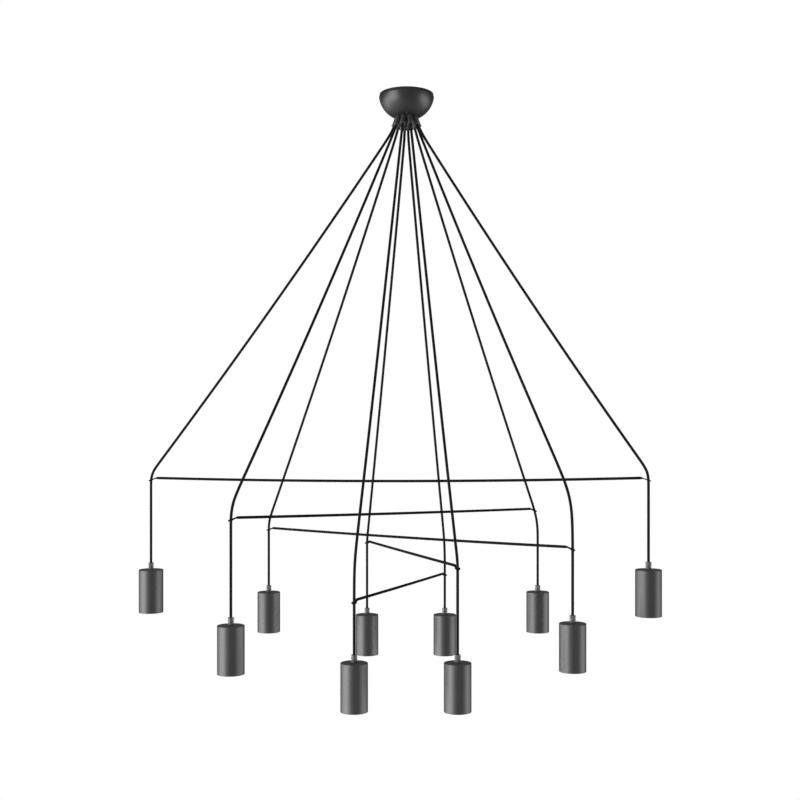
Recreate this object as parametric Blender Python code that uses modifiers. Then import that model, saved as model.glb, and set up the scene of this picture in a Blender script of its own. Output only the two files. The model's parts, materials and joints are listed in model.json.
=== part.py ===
"""Ten-lamp chandelier: a domed canopy, ten cords, five spacer rods and ten lamp holders.

Metres, +Z up. The origin is the middle of the ceiling bracket's top face, against the ceiling.
Each rod has an end a towards -X and an end b towards +X, so lamp 1a hangs below the -X end of rod 1.
Rods are numbered from the highest to the lowest.
"""

import math

import bmesh
import bpy
from mathutils import Matrix, Vector

# Fits and cuts
TOUCH_GAP = 0.0003
CUT_OVERRUN = 0.002
MERGE_DISTANCE = 0.00002

# Ceiling bracket: a steel strap with a slot near each end and a blind threaded boss in the middle
BRACKET_LENGTH = 0.088
BRACKET_WIDTH = 0.018
BRACKET_THICKNESS = 0.0025
BRACKET_BOSS_RADIUS = 0.006
BRACKET_BOSS_HEIGHT = 0.0075
BRACKET_SKIN = 0.0012
SLOT_SPACING = 0.060
SLOT_LENGTH = 0.012
SLOT_WIDTH = 0.005

# Canopy dome: a spun shell on an ellipse, with a short band at the ceiling
DOME_RADIUS = 0.052
DOME_HEIGHT = 0.048
DOME_RIM_RADIUS = 0.0512
DOME_BAND_HEIGHT = 0.006
DOME_WALL = 0.0012
DOME_LAP_WIDTH = 0.004
DOME_LAP_SHOULDER = 0.0025
DOME_STEPS = 40

# Cord plate: closes the dome from below and carries the ten cord spouts
PLATE_RADIUS = 0.032
PLATE_WALL = 0.0015
PLATE_LAND_RADIUS = 0.0085
PLATE_BOSS_RADIUS = 0.0065
PLATE_BOSS_HEIGHT = 0.014
SPOUT_RING_RADIUS = 0.0178
SPOUT_LEAN = math.radians(20)
SPOUT_RADIUS = 0.0046
SPOUT_LENGTH = 0.017
SPOUT_ROOT = 0.0028
SPOUT_LIP_RADIUS = 0.0054
SPOUT_LIP_HEIGHT = 0.0022
SPOUT_STEPS = 12

# Where each cord's spout stands around the plate, from +X towards +Y. Two of the cords share a twin
# spout at the back, each a little aside of its middle
SPOUT_1B = math.radians(0)
SPOUT_2B = math.radians(46)
SPOUT_TWIN = math.radians(90)
SPOUT_3A = math.radians(134)
SPOUT_1A = math.radians(180)
SPOUT_2A = math.radians(216)
SPOUT_5A = math.radians(252)
SPOUT_4B = math.radians(288)
SPOUT_3B = math.radians(324)
TWIN_ASIDE = 0.0033

# Centre screw and terminal block inside the canopy
SCREW_RADIUS = 0.0022
SCREW_HEAD_RADIUS = 0.0072
SCREW_HEAD_HEIGHT = 0.006
SCREW_HEAD_CHAMFER = 0.001
BLOCK_RADIUS = 0.019
BLOCK_HEIGHT = 0.010
BLOCK_CHAMFER = 0.0015

# Cords
CORD_RADIUS = 0.0025
CORD_SAG = 0.0095
SPOUT_BEND_LENGTH = 0.0105
CORD_BEVEL_STEPS = 2
PIVOT_BELOW_EYELET = 0.006

# Spacer rods: a round bar that sags a little, with a flattened, drooping tab at each end
ROD_RADIUS = 0.0025
ROD_STEPS = 12
ROD_LENGTHS = 14
TAB_REACH = 0.011
TAB_SLOPE = math.radians(20)
TAB_THICKNESS = 0.0014
TAB_NECK_WIDTH = 0.0062
TAB_END_RADIUS = 0.0054
TAB_LAP = 0.002
EYELET_CLEARANCE = 0.0006

# Rod 1 (highest) to rod 5 (lowest): distance between the cords, depth below the ceiling,
# turn in plan, how much higher end b hangs than end a, how far the middle sags, and where it hangs
ROD_1_SPAN = 0.940
ROD_1_DEPTH = 0.719
ROD_1_TURN = math.radians(-11.5)
ROD_1_RISE = 0.0054
ROD_1_SAG = 0.0058
ROD_1_SIDE = -0.033
ROD_1_FORWARD = 0.030
ROD_2_SPAN = 0.700
ROD_2_DEPTH = 0.7853
ROD_2_TURN = math.radians(36.3)
ROD_2_RISE = -0.0077
ROD_2_SAG = 0.0011
ROD_2_SIDE = -0.0171
ROD_3_SPAN = 0.700
ROD_3_DEPTH = 0.8316
ROD_3_TURN = math.radians(-35.7)
ROD_3_RISE = -0.0039
ROD_3_SAG = 0.0018
ROD_3_BACK = 0.020
ROD_4_SPAN = 0.470
ROD_4_DEPTH = 0.8594
ROD_4_TURN = math.radians(-69.4)
ROD_4_RISE = -0.0058
ROD_4_SAG = 0.0004
ROD_4_SIDE = 0.0023
ROD_5_SPAN = 0.470
ROD_5_DEPTH = 0.9215
ROD_5_TURN = math.radians(68.8)
ROD_5_RISE = -0.0030
ROD_5_SAG = 0.0004
ROD_5_SIDE = -0.0045

# Where each cord turns from its slant to hanging plumb: how far above its eyelet (below it where
# negative), and how softly it turns
BEND_1A = 0.011
BEND_1B = 0.014
BEND_2A = 0.024
BEND_2B = -0.020
BEND_3A = 0.018
BEND_3B = 0.088
BEND_4A = 0.004
BEND_4B = 0.010
BEND_5A = 0.067
BEND_5B = 0.062
SOFTNESS_1A = 0.0055
SOFTNESS_1B = 0.005
SOFTNESS_2A = 0.010
SOFTNESS_2B = 0.012
SOFTNESS_3A = 0.005
SOFTNESS_3B = 0.018
SOFTNESS_4A = 0.004
SOFTNESS_4B = 0.005
SOFTNESS_5A = 0.0145
SOFTNESS_5B = 0.0135

# How far each lamp's cord hangs straight, from its swing pivot to its tilt pivot
DROP_1A = 0.1523
DROP_1B = 0.1375
DROP_2A = 0.1579
DROP_2B = 0.0971
DROP_3A = 0.1083
DROP_3B = 0.1058
DROP_4A = 0.1275
DROP_4B = 0.1381
DROP_5A = 0.0805
DROP_5B = 0.0609

# Lamp holder: cord grip on top, metal sleeve, plastic socket inside
PIVOT_ABOVE_GRIP = 0.001
GRIP_HEIGHT = 0.013
GRIP_TOP_RADIUS = 0.0057
GRIP_BASE_RADIUS = 0.0054
GRIP_CHAMFER = 0.0006
GRIP_SHANK_RADIUS = 0.0045
GRIP_SHANK_LENGTH = 0.008
GRIP_STEPS = 12
SLEEVE_RADIUS = 0.0235
SLEEVE_HEIGHT = 0.083
SLEEVE_WALL = 0.0012
SLEEVE_ROOF = 0.0015
SLEEVE_EDGE = 0.0015
SLEEVE_STEPS = 24
SOCKET_RADIUS = 0.020
SOCKET_BOSS_RADIUS = 0.009
SOCKET_BOSS_HEIGHT = 0.008
SOCKET_RECESS_CLEARANCE = 0.0005
SOCKET_INSET = 0.006
SOCKET_MOUTH_RADIUS = 0.0138
SOCKET_MOUTH_DEPTH = 0.028
SOCKET_STEPS = 16

# Each cord's spout, in their order around the plate: its place around it, and how far aside of that
SPOUTS = {
    "1b": (SPOUT_1B, 0), "2b": (SPOUT_2B, 0), "5b": (SPOUT_TWIN, -TWIN_ASIDE),
    "4a": (SPOUT_TWIN, TWIN_ASIDE), "3a": (SPOUT_3A, 0), "1a": (SPOUT_1A, 0), "2a": (SPOUT_2A, 0),
    "5a": (SPOUT_5A, 0), "4b": (SPOUT_4B, 0), "3b": (SPOUT_3B, 0),
}

# Rod name, span, depth, turn, rise, sag, middle, and for each end the cord's bend, its softness and
# the drop
RODS = (
    ("1", ROD_1_SPAN, ROD_1_DEPTH, ROD_1_TURN, ROD_1_RISE, ROD_1_SAG, (ROD_1_SIDE, -ROD_1_FORWARD),
     (BEND_1A, SOFTNESS_1A, DROP_1A), (BEND_1B, SOFTNESS_1B, DROP_1B)),
    ("2", ROD_2_SPAN, ROD_2_DEPTH, ROD_2_TURN, ROD_2_RISE, ROD_2_SAG, (ROD_2_SIDE, 0),
     (BEND_2A, SOFTNESS_2A, DROP_2A), (BEND_2B, SOFTNESS_2B, DROP_2B)),
    ("3", ROD_3_SPAN, ROD_3_DEPTH, ROD_3_TURN, ROD_3_RISE, ROD_3_SAG, (0, ROD_3_BACK),
     (BEND_3A, SOFTNESS_3A, DROP_3A), (BEND_3B, SOFTNESS_3B, DROP_3B)),
    ("4", ROD_4_SPAN, ROD_4_DEPTH, ROD_4_TURN, ROD_4_RISE, ROD_4_SAG, (ROD_4_SIDE, 0),
     (BEND_4A, SOFTNESS_4A, DROP_4A), (BEND_4B, SOFTNESS_4B, DROP_4B)),
    ("5", ROD_5_SPAN, ROD_5_DEPTH, ROD_5_TURN, ROD_5_RISE, ROD_5_SAG, (ROD_5_SIDE, 0),
     (BEND_5A, SOFTNESS_5A, DROP_5A), (BEND_5B, SOFTNESS_5B, DROP_5B)),
)

# Where a slanting cord's points lie: in bend lengths from the spout, as shares of the slant,
# in softnesses before its bend, and as shares of the stretch below the bend
SPOUT_END_SHARES = (0, 0.8, 1.8, 3.5, 7)
SLANT_SHARES = (0.3, 0.5, 0.7)
BEFORE_BEND_SHARES = (4, 2.5, 1.5, 0.7, 0)
BELOW_BEND_SHARES = (0.25, 0.5, 0.75, 1)
PLUMB_SHARE = 2.5

# The rounded end of a hanging cord, as shares of its radius: place along the cord, and radius
ROUND_END_SHARES = ((0.97, 0.26), (0.64, 0.77), (0, 1))

BORE_RADIUS = CORD_RADIUS + TOUCH_GAP
EYELET_RADIUS = CORD_RADIUS + EYELET_CLEARANCE
TAB_LENGTH = TAB_REACH / math.cos(TAB_SLOPE)
TAB_DROOP = TAB_REACH * math.tan(TAB_SLOPE)
HOLE_REACH = 2 * TAB_THICKNESS + TAB_DROOP
DOWN = Vector((0, 0, -1))


def clear_scene():
    for item in list(bpy.data.objects):
        bpy.data.objects.remove(item, do_unlink=True)


def new_collection(name):
    collection = bpy.data.collections.new(name)
    bpy.context.scene.collection.children.link(collection)
    return collection


clear_scene()
PARTS = new_collection("chandelier")
CUTTERS = new_collection("cutters")


def make_material(name, colour, roughness, metallic):
    material = bpy.data.materials.new(name)
    material.use_nodes = True
    shader = material.node_tree.nodes["Principled BSDF"]
    shader.inputs["Base Color"].default_value = (*colour, 1)
    shader.inputs["Roughness"].default_value = roughness
    shader.inputs["Metallic"].default_value = metallic
    return material


CANOPY_BLACK = make_material("canopy_black", (0.022, 0.022, 0.023), 0.55, 0)
ROD_BLACK = make_material("rod_black", (0.02, 0.02, 0.02), 0.45, 0)
CORD_BLACK = make_material("cord_black", (0.012, 0.012, 0.012), 0.7, 0)
SLEEVE_GREY = make_material("sleeve_grey", (0.09, 0.09, 0.095), 0.4, 0.6)
GRIP_GREY = make_material("grip_grey", (0.3, 0.3, 0.3), 0.45, 0)
SOCKET_BLACK = make_material("socket_black", (0.03, 0.03, 0.03), 0.5, 0)
BLOCK_WHITE = make_material("block_white", (0.7, 0.7, 0.68), 0.5, 0)
BRACKET_STEEL = make_material("bracket_steel", (0.55, 0.56, 0.57), 0.35, 1)


def add_object(name, data, collection):
    item = bpy.data.objects.new(name, data)
    collection.objects.link(item)
    if collection is CUTTERS:
        item.hide_render = True
        item.display_type = "WIRE"
    return item


def dress(item, material):
    item.data.materials.clear()
    item.data.materials.append(material)
    return item


def shade_round(item):
    item.data.shade_smooth()
    item.data.set_sharp_from_angle(angle=math.radians(35))


def turned(name, profile, steps, collection, closed=True):
    """A profile of (radius, height) points turned about Z; it runs down the outer side."""
    mesh = bpy.data.meshes.new(name)
    points = [(radius, 0, height) for radius, height in profile]
    edges = [(index, index + 1) for index in range(len(points) - 1)]
    if closed:
        edges.append((len(points) - 1, 0))
    mesh.from_pydata(points, edges, [])
    item = add_object(name, mesh, collection)
    screw = item.modifiers.new("turn", "SCREW")
    screw.steps = steps
    screw.render_steps = steps
    screw.use_merge_vertices = True
    screw.merge_threshold = MERGE_DISTANCE
    screw.use_smooth_shade = True
    return item


def evaluated_mesh(item):
    graph = bpy.context.evaluated_depsgraph_get()
    mesh = bpy.data.meshes.new_from_object(item.evaluated_get(graph))
    bm = bmesh.new()
    bm.from_mesh(mesh)
    bmesh.ops.remove_doubles(bm, verts=bm.verts, dist=MERGE_DISTANCE)
    bm.to_mesh(mesh)
    bm.free()
    return mesh


def as_mesh(item, collection):
    """Replace an object by one that holds its evaluated, welded mesh."""
    mesh = evaluated_mesh(item)
    name = item.name
    matrix = item.matrix_world.copy()
    bpy.data.objects.remove(item, do_unlink=True)
    solid = add_object(name, mesh, collection)
    solid.matrix_world = matrix
    return solid


def copies_of(name, source, matrices, collection):
    """One object that holds a copy of a solid at each matrix; the solid itself goes."""
    mesh = evaluated_mesh(source)
    bpy.data.objects.remove(source, do_unlink=True)
    bm = bmesh.new()
    for matrix in matrices:
        placed = mesh.copy()
        placed.transform(matrix)
        bm.from_mesh(placed)
        bpy.data.meshes.remove(placed)
    joined = bpy.data.meshes.new(name)
    bm.to_mesh(joined)
    bm.free()
    return add_object(name, joined, collection)


def cylinder(name, radius, low, high, steps, collection):
    """A round bar about Z between two heights."""
    mesh = bpy.data.meshes.new(name)
    bm = bmesh.new()
    middle = Matrix.Translation((0, 0, (low + high) / 2))
    bmesh.ops.create_cone(bm, cap_ends=True, segments=steps, radius1=radius, radius2=radius,
                          depth=high - low, matrix=middle)
    bm.to_mesh(mesh)
    bm.free()
    return add_object(name, mesh, collection)


def box(name, low, high, collection):
    mesh = bpy.data.meshes.new(name)
    bm = bmesh.new()
    size = [top - bottom for bottom, top in zip(low, high)]
    middle = [(top + bottom) / 2 for bottom, top in zip(low, high)]
    matrix = Matrix.Translation(middle) @ Matrix.Diagonal((*size, 1))
    bmesh.ops.create_cube(bm, size=1, matrix=matrix)
    bm.to_mesh(mesh)
    bm.free()
    return add_object(name, mesh, collection)


def flat_shape(name, outline, thickness, collection):
    """An outline in XY filled and given a thickness, half above and half below."""
    curve = bpy.data.curves.new(name, "CURVE")
    curve.dimensions = "2D"
    curve.fill_mode = "BOTH"
    curve.extrude = thickness / 2
    spline = curve.splines.new("POLY")
    spline.points.add(len(outline) - 1)
    for point, (across, along) in zip(spline.points, outline):
        point.co = (across, along, 0, 1)
    spline.use_cyclic_u = True
    bpy.context.view_layer.update()
    return as_mesh(add_object(name, curve, collection), collection)


def tube(name, points, radii, material):
    """A cord: a round tube on a POLY spline, with a radius share at each point."""
    curve = bpy.data.curves.new(name, "CURVE")
    curve.dimensions = "3D"
    curve.bevel_depth = CORD_RADIUS
    curve.bevel_resolution = CORD_BEVEL_STEPS
    curve.use_fill_caps = True
    spline = curve.splines.new("POLY")
    spline.points.add(len(points) - 1)
    for point, place, share in zip(spline.points, points, radii):
        point.co = (*place, 1)
        point.radius = share
    spline.use_smooth = True
    return dress(add_object(name, curve, PARTS), material)


def cut(item, cutter, operation="DIFFERENCE"):
    step = item.modifiers.new(cutter.name, "BOOLEAN")
    step.operation = operation
    step.solver = "EXACT"
    step.object = cutter


def arc(centre, radius, start, end, count):
    """Points on a circle from one angle to another."""
    points = []
    for index in range(count):
        angle = start + (end - start) * index / (count - 1)
        points.append((centre[0] + radius * math.cos(angle), centre[1] + radius * math.sin(angle)))
    return points


def dome_point(radius, inset):
    """The point of the dome's outer ellipse at a radius, moved inwards square to the surface."""
    angle = math.acos(radius / DOME_RADIUS)
    across = math.cos(angle) / DOME_RADIUS
    down = math.sin(angle) / DOME_HEIGHT
    length = math.hypot(across, down)
    height = -DOME_HEIGHT * math.sin(angle)
    return radius - inset * across / length, height + inset * down / length


def dome_arc(start_radius, end_radius, inset, count):
    """Points along the dome between two radii, evenly spaced in the ellipse's angle."""
    start = math.acos(start_radius / DOME_RADIUS)
    end = math.acos(end_radius / DOME_RADIUS)
    angles = [start + (end - start) * index / (count - 1) for index in range(count)]
    return [dome_point(DOME_RADIUS * math.cos(angle), inset) for angle in angles]


def plate_land_height():
    return dome_point(PLATE_LAND_RADIUS, 0)[1]


def plate_boss_top():
    return plate_land_height() + PLATE_WALL + PLATE_BOSS_HEIGHT


def block_bottom():
    return plate_boss_top() + TOUCH_GAP


def spout_frame(azimuth, aside):
    """The matrix of a spout: its origin on the dome's surface, its +Z out along the spout."""
    radius, height = dome_point(SPOUT_RING_RADIUS, 0)
    turn = Matrix.Rotation(azimuth, 4, "Z")
    lean = Matrix.Rotation(math.pi - SPOUT_LEAN, 4, "Y")
    return turn @ Matrix.Translation((radius, aside, height)) @ lean


def spout_matrices():
    return [spout_frame(*place) for place in SPOUTS.values()]


def ceiling_bracket():
    half = BRACKET_LENGTH / 2
    side = BRACKET_WIDTH / 2
    strap = box("ceiling_bracket", (-half, -side, -BRACKET_THICKNESS), (half, side, 0), PARTS)
    boss_bottom = -BRACKET_THICKNESS - BRACKET_BOSS_HEIGHT
    boss = cylinder("bracket_boss", BRACKET_BOSS_RADIUS, boss_bottom, -BRACKET_SKIN, 20, CUTTERS)
    cut(strap, boss, "UNION")
    hole = cylinder("bracket_hole", SCREW_RADIUS + TOUCH_GAP, boss_bottom - CUT_OVERRUN,
                    -BRACKET_SKIN, 12, CUTTERS)
    cut(strap, hole)
    reach = (SLOT_LENGTH - SLOT_WIDTH) / 2
    for side_sign in (-1, 1):
        centre = side_sign * SLOT_SPACING / 2
        right = arc((centre + reach, 0), SLOT_WIDTH / 2, -math.pi / 2, math.pi / 2, 6)
        left = arc((centre - reach, 0), SLOT_WIDTH / 2, math.pi / 2, 3 * math.pi / 2, 6)
        slot = flat_shape("bracket_slot", right + left, 2 * (BRACKET_THICKNESS + CUT_OVERRUN), CUTTERS)
        cut(strap, slot)
    return dress(strap, BRACKET_STEEL)


def canopy_dome():
    band_radius = DOME_RADIUS * math.cos(math.asin(DOME_BAND_HEIGHT / DOME_HEIGHT))
    lap_inset = PLATE_WALL + TOUCH_GAP
    opening = PLATE_RADIUS - DOME_LAP_WIDTH
    shoulder = PLATE_RADIUS + DOME_LAP_SHOULDER
    outer = [(DOME_RIM_RADIUS, 0)] + dome_arc(band_radius, PLATE_RADIUS, 0, 7)
    lap = [dome_point(PLATE_RADIUS, lap_inset), dome_point(opening, lap_inset)]
    lap += [dome_point(opening, lap_inset + DOME_WALL), dome_point(shoulder, lap_inset + DOME_WALL)]
    inner = dome_arc(shoulder + DOME_LAP_SHOULDER, band_radius, DOME_WALL, 5)
    inner.append((DOME_RIM_RADIUS - DOME_WALL, 0))
    dome = turned("canopy_dome", outer + lap + inner, DOME_STEPS, PARTS)
    return dress(dome, CANOPY_BLACK)


def cord_plate():
    """The plate; the halves of the twin spout overlap, so every other spout is joined at a time."""
    rim = PLATE_RADIUS - TOUCH_GAP
    hole = SCREW_RADIUS + TOUCH_GAP
    land = plate_land_height()
    profile = dome_arc(rim, PLATE_LAND_RADIUS, 0, 5)
    profile += [(hole, land), (hole, plate_boss_top()), (PLATE_BOSS_RADIUS, plate_boss_top())]
    profile += dome_arc(PLATE_BOSS_RADIUS, rim, PLATE_WALL, 5)
    plate = turned("cord_plate", profile, DOME_STEPS, PARTS)
    lip_start = SPOUT_LENGTH - SPOUT_LIP_HEIGHT
    spout_profile = [
        (0, SPOUT_LENGTH), (SPOUT_LIP_RADIUS, SPOUT_LENGTH), (SPOUT_LIP_RADIUS, lip_start),
        (SPOUT_RADIUS, lip_start), (SPOUT_RADIUS, -SPOUT_ROOT), (0, -SPOUT_ROOT),
    ]
    bore_low = -SPOUT_ROOT - CUT_OVERRUN
    bore = cylinder("bore", BORE_RADIUS, bore_low, SPOUT_LENGTH + CUT_OVERRUN, SPOUT_STEPS, CUTTERS)
    for first in range(2):
        spout = turned("spout", spout_profile, SPOUT_STEPS, CUTTERS, closed=False)
        bpy.context.view_layer.update()
        every_other = spout_matrices()[first::2]
        cut(plate, copies_of("spouts", spout, every_other, CUTTERS), "UNION")
    cut(plate, copies_of("spout_bores", bore, spout_matrices(), CUTTERS))
    return dress(plate, CANOPY_BLACK)


def centre_screw():
    tip = -BRACKET_SKIN - TOUCH_GAP
    head_top = plate_land_height() - TOUCH_GAP
    head_bottom = head_top - SCREW_HEAD_HEIGHT
    profile = [
        (0, tip), (SCREW_RADIUS, tip), (SCREW_RADIUS, head_top), (SCREW_HEAD_RADIUS, head_top),
        (SCREW_HEAD_RADIUS, head_bottom + SCREW_HEAD_CHAMFER),
        (SCREW_HEAD_RADIUS - SCREW_HEAD_CHAMFER, head_bottom), (0, head_bottom),
    ]
    return dress(turned("centre_screw", profile, 16, PARTS, closed=False), CANOPY_BLACK)


def terminal_block():
    bottom = block_bottom()
    top = bottom + BLOCK_HEIGHT
    hole = SCREW_RADIUS + TOUCH_GAP
    profile = [
        (BLOCK_RADIUS - BLOCK_CHAMFER, top), (BLOCK_RADIUS, top - BLOCK_CHAMFER),
        (BLOCK_RADIUS, bottom), (hole, bottom), (hole, top),
    ]
    return dress(turned("terminal_block", profile, 20, PARTS), BLOCK_WHITE)


def rod_frame(depth, span, turn, rise, middle):
    """The matrix of a rod: X along it, tilted so that end b is higher by the rise."""
    place = Matrix.Translation((middle[0], middle[1], -depth))
    tilt = Matrix.Rotation(-math.asin(rise / span), 4, "Y")
    return place @ Matrix.Rotation(turn, 4, "Z") @ tilt


def sagging_bar(name, half_length, sag):
    """The round bar along X: rings square to X, each as far down as a beam hangs there."""
    bm = bmesh.new()
    rings = []
    for index in range(ROD_LENGTHS + 1):
        share = 2 * index / ROD_LENGTHS - 1
        drop = sag * (1 - share ** 2)
        circle = arc((0, -drop), ROD_RADIUS, 0, 2 * math.pi, ROD_STEPS + 1)[:-1]
        rings.append([bm.verts.new((share * half_length, across, height)) for across, height in circle])
    for ring, following in zip(rings, rings[1:]):
        for step in range(ROD_STEPS):
            bm.faces.new((ring[step - 1], ring[step], following[step], following[step - 1]))
    for ring in (rings[0], rings[-1]):
        bm.faces.new(ring)
    bmesh.ops.recalc_face_normals(bm, faces=bm.faces)
    mesh = bpy.data.meshes.new(name)
    bm.to_mesh(mesh)
    bm.free()
    return add_object(name, mesh, PARTS)


def tab_outline():
    """A neck a little wider than the bar that spreads to a round end about the eyelet."""
    spread = math.radians(115)
    side = TAB_NECK_WIDTH / 2
    outline = [(-TAB_LAP, -side), (0, -side)]
    outline += arc((TAB_LENGTH, 0), TAB_END_RADIUS, -spread, spread, 9)
    outline += [(0, side), (-TAB_LAP, side)]
    return outline


def spacer_rod(number, span, sag, frame, ways):
    """A bar with a tab at each end, and through it a hole that runs the way the cord does."""
    name = "spacer_rod_" + number
    half_bar = span / 2 - TAB_REACH
    bar = sagging_bar(name, half_bar, sag)
    slope = Matrix.Rotation(TAB_SLOPE, 4, "Y")
    for end, half_turn, way in zip("ab", (math.pi, 0), ways):
        facing = Matrix.Rotation(half_turn, 4, "Z")
        tab = flat_shape(name + "_tab_" + end, tab_outline(), TAB_THICKNESS, CUTTERS)
        tab.data.transform(facing @ Matrix.Translation((half_bar, 0, 0)) @ slope)
        cut(bar, tab, "UNION")
        tab.matrix_world = frame
        hole = cylinder(name + "_hole_" + end, EYELET_RADIUS, -HOLE_REACH, HOLE_REACH, 16, CUTTERS)
        eyelet = frame @ facing @ Vector((span / 2, 0, -TAB_DROOP))
        hole.matrix_world = Matrix.Translation(eyelet) @ way.to_track_quat("Z", "X").to_matrix().to_4x4()
        cut(bar, hole)
    bar.matrix_world = frame
    return dress(bar, ROD_BLACK)


def settling(distance, slant):
    """How far a cord is still aside on leaving its spout: it grows at first, and is gone at the bend."""
    grown = SPOUT_BEND_LENGTH * (1 - math.exp(-distance / SPOUT_BEND_LENGTH))
    return grown - SPOUT_BEND_LENGTH * min(distance / slant, 1)


def sagging(distance, slant):
    """How far a cord hangs below its chord; past the bend, the slope at the bend runs on."""
    share = distance / slant
    return 4 * CORD_SAG * (share * (1 - share) if share < 1 else 1 - share)


def turning(distance, slant, softness):
    """How far past its bend a cord has turned: nought well above it, the distance well below."""
    return softness * math.log1p(math.exp((distance - slant) / softness))


def bend_corner(mouth, eyelet, bend):
    """Where a cord's slanting and plumb stretches would meet: above its eyelet, or past it."""
    if bend > 0:
        return eyelet - DOWN * bend
    return eyelet + (eyelet - mouth) * (bend / (eyelet.z - mouth.z))


def slanting_points(mouth, out, eyelet, bend, softness):
    """Points of a cord that slants from its spout's mouth, sags a little and bends to hang plumb.

    The turn is shared out so that the cord passes through the eyelet's middle. The last point is
    the eyelet, or where the cord has come to hang plumb below it.
    """
    chord = bend_corner(mouth, eyelet, bend) - mouth
    slant = chord.length
    way = chord / slant
    slope = DOWN * 4 * CORD_SAG / slant
    start_lean = out / out.dot(way) - way - slope
    end_lean = DOWN / DOWN.dot(way) - way + slope
    below = bend if bend > 0 else PLUMB_SHARE * softness
    tail = below * DOWN.dot(way)
    at_eyelet = slant + (tail if bend > 0 else bend / DOWN.dot(way))
    excess = turning(at_eyelet, slant, softness) - max(at_eyelet - slant, 0)
    stations = [share * SPOUT_BEND_LENGTH for share in SPOUT_END_SHARES]
    stations += [share * slant for share in SLANT_SHARES]
    stations += [slant - share * softness for share in BEFORE_BEND_SHARES]
    stations += [slant + share * tail for share in BELOW_BEND_SHARES]
    points = []
    for distance in stations:
        point = mouth + way * distance + DOWN * sagging(distance, slant)
        point += start_lean * settling(distance, slant)
        point += end_lean * turning(distance, slant, softness)
        point -= end_lean * excess * min(distance / at_eyelet, 1)
        points.append(point)
    return points


def spout_mouth(label):
    """The middle of a spout's mouth, the way out of it, and where its cord starts inside the canopy."""
    frame = spout_frame(*SPOUTS[label])
    out = (frame.to_3x3() @ Vector((0, 0, 1))).normalized()
    surface = frame.translation
    top = block_bottom() - TOUCH_GAP - CORD_RADIUS * math.sin(SPOUT_LEAN)
    inside = surface + out * ((top - surface.z) / out.z)
    return surface + out * SPOUT_LENGTH, out, inside


def upper_cord(label, eyelet, bend, softness):
    """A cord from the terminal block to where it hangs plumb; its end, above the pivot, is returned."""
    mouth, out, inside = spout_mouth(label)
    points = [inside] + slanting_points(mouth, out, eyelet, bend, softness)
    plumb_top = points[-1]
    points.append(plumb_top + DOWN * (PIVOT_BELOW_EYELET - CORD_RADIUS - TOUCH_GAP))
    tube("upper_cord_" + label, points, [1] * len(points), CORD_BLACK)
    return plumb_top


def drop_cord(label, drop):
    """The straight cord from a swing pivot down to the lamp's tilt pivot, with round ends."""
    points = []
    radii = []
    for along, share in ROUND_END_SHARES:
        points.append((0, 0, along * CORD_RADIUS))
        radii.append(share)
    for along, share in reversed(ROUND_END_SHARES):
        points.append((0, 0, -drop - along * CORD_RADIUS))
        radii.append(share)
    return tube("drop_cord_" + label, points, radii, CORD_BLACK)


def grip_top():
    return -PIVOT_ABOVE_GRIP


def grip_base():
    return grip_top() - GRIP_HEIGHT


def sleeve_top():
    return grip_base() - TOUCH_GAP


def cord_grip(label):
    top = grip_top()
    base = grip_base()
    shank_end = base - GRIP_SHANK_LENGTH
    profile = [
        (GRIP_TOP_RADIUS - GRIP_CHAMFER, top), (GRIP_TOP_RADIUS, top - GRIP_CHAMFER),
        (GRIP_BASE_RADIUS, base), (GRIP_SHANK_RADIUS, base), (GRIP_SHANK_RADIUS, shank_end),
        (BORE_RADIUS, shank_end), (BORE_RADIUS, top),
    ]
    return dress(turned("cord_grip_" + label, profile, GRIP_STEPS, PARTS), GRIP_GREY)


def lamp_sleeve(label):
    top = sleeve_top()
    bottom = top - SLEEVE_HEIGHT
    hole = GRIP_SHANK_RADIUS + TOUCH_GAP
    inner = SLEEVE_RADIUS - SLEEVE_WALL
    roof = top - SLEEVE_ROOF
    edge = arc((SLEEVE_RADIUS - SLEEVE_EDGE, top - SLEEVE_EDGE), SLEEVE_EDGE, math.pi / 2, 0, 3)
    profile = edge + [(SLEEVE_RADIUS, bottom), (inner, bottom), (inner, roof), (hole, roof), (hole, top)]
    return dress(turned("lamp_sleeve_" + label, profile, SLEEVE_STEPS, PARTS), SLEEVE_GREY)


def lamp_socket(label):
    top = sleeve_top() - SLEEVE_ROOF - TOUCH_GAP
    shoulder = top - SOCKET_BOSS_HEIGHT
    bottom = sleeve_top() - SLEEVE_HEIGHT + SOCKET_INSET
    floor = bottom + SOCKET_MOUTH_DEPTH
    recess = GRIP_SHANK_RADIUS + TOUCH_GAP
    recess_floor = grip_base() - GRIP_SHANK_LENGTH - SOCKET_RECESS_CLEARANCE
    profile = [
        (0, recess_floor), (recess, recess_floor), (recess, top), (SOCKET_BOSS_RADIUS, top),
        (SOCKET_BOSS_RADIUS, shoulder), (SOCKET_RADIUS, shoulder), (SOCKET_RADIUS, bottom),
        (SOCKET_MOUTH_RADIUS, bottom), (SOCKET_MOUTH_RADIUS, floor), (0, floor),
    ]
    socket = turned("lamp_socket_" + label, profile, SOCKET_STEPS, PARTS, closed=False)
    return dress(socket, SOCKET_BLACK)


def pivot(name, place, azimuth, parent=None):
    """An empty on a joint's axis, its X pointing out along the rod."""
    empty = add_object(name, None, PARTS)
    empty.parent = parent
    empty.location = place
    empty.rotation_euler = (0, 0, azimuth)
    return empty


def pendant(label, plumb_top, azimuth, drop):
    """What hangs from a plumb cord: its straight end on one pivot, a lamp holder on the other."""
    swing = pivot("swing_pivot_" + label, plumb_top + DOWN * PIVOT_BELOW_EYELET, azimuth)
    tilt = pivot("tilt_pivot_" + label, (0, 0, -drop), 0, swing)
    drop_cord(label, drop).parent = swing
    for make in (cord_grip, lamp_sleeve, lamp_socket):
        make(label).parent = tilt


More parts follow.
